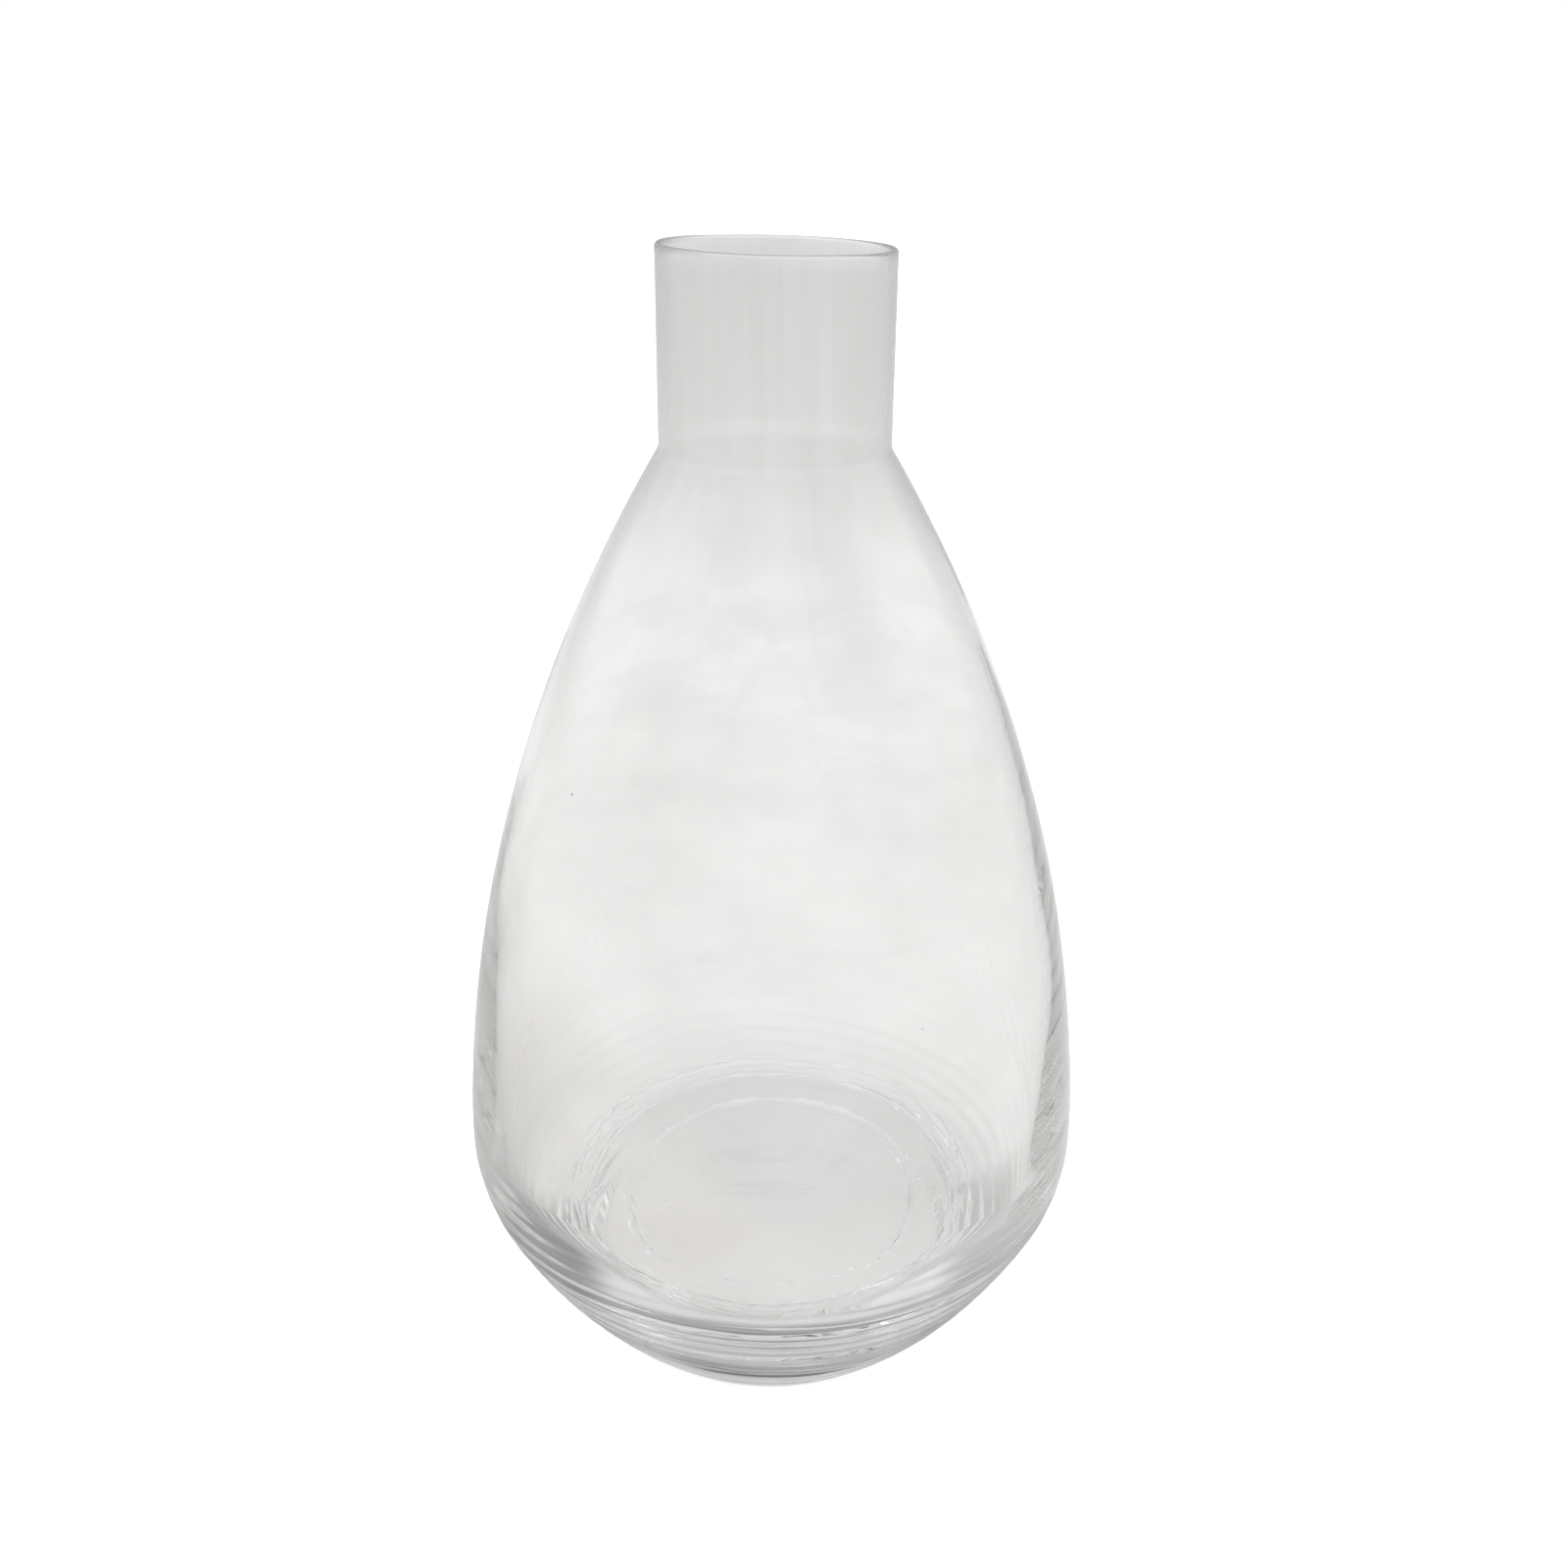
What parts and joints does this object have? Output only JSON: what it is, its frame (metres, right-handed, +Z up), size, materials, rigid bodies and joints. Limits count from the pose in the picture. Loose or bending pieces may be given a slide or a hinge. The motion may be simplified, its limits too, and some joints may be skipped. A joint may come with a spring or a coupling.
{
  "type": "flower vase",
  "caption": "Clear glass flower vase with a wide low belly, a short straight neck, a thick solid base and a flat standing ring.",
  "frame": {"origin": "centre of the standing ring, on the surface that the vase stands on", "axes": "+Z up along the vessel's axis of revolution; +X and +Y are free, because the vessel is round"},
  "size_m": [0.1614, 0.1614, 0.28],
  "materials": {
    "clear_glass": "clear, fire-polished"
  },
  "bodies": {
    "root": {"glass_vessel": "clear_glass"}
  },
  "joints": []
}
